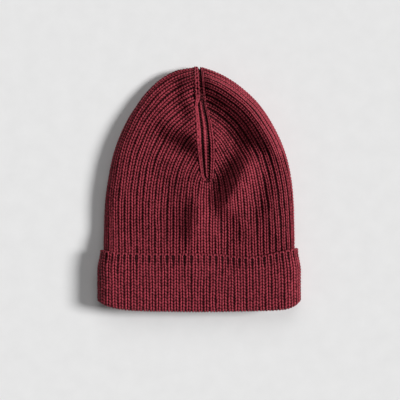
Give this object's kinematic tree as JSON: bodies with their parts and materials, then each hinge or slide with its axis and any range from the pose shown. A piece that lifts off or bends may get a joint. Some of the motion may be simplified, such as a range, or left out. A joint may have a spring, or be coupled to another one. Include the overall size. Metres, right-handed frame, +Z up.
{
  "type": "ribbed knitted beanie with a turned-up cuff, lying flat",
  "caption": "Rib-knitted beanie lying flat: hollow crown gathered on a seam over the top, broad turned-up cuff, open mouth, folds and dents in the front.",
  "frame": {"origin": "on the floor under the middle of the lying hat's outline", "axes": "+Y from the mouth to the top of the crown, +X to the right seen from above, +Z up, away from the floor"},
  "size_m": [0.2096, 0.2517, 0.0373],
  "materials": {
    "crown_knit": "wine-red ribbed knit, matt",
    "cuff_knit": "wine-red ribbed knit, matt",
    "seam_knit": "wine-red ribbed knit, matt"
  },
  "bodies": {
    "root": {"crown": "crown_knit", "cuff": "cuff_knit", "crown_seam": "seam_knit"}
  },
  "joints": []
}
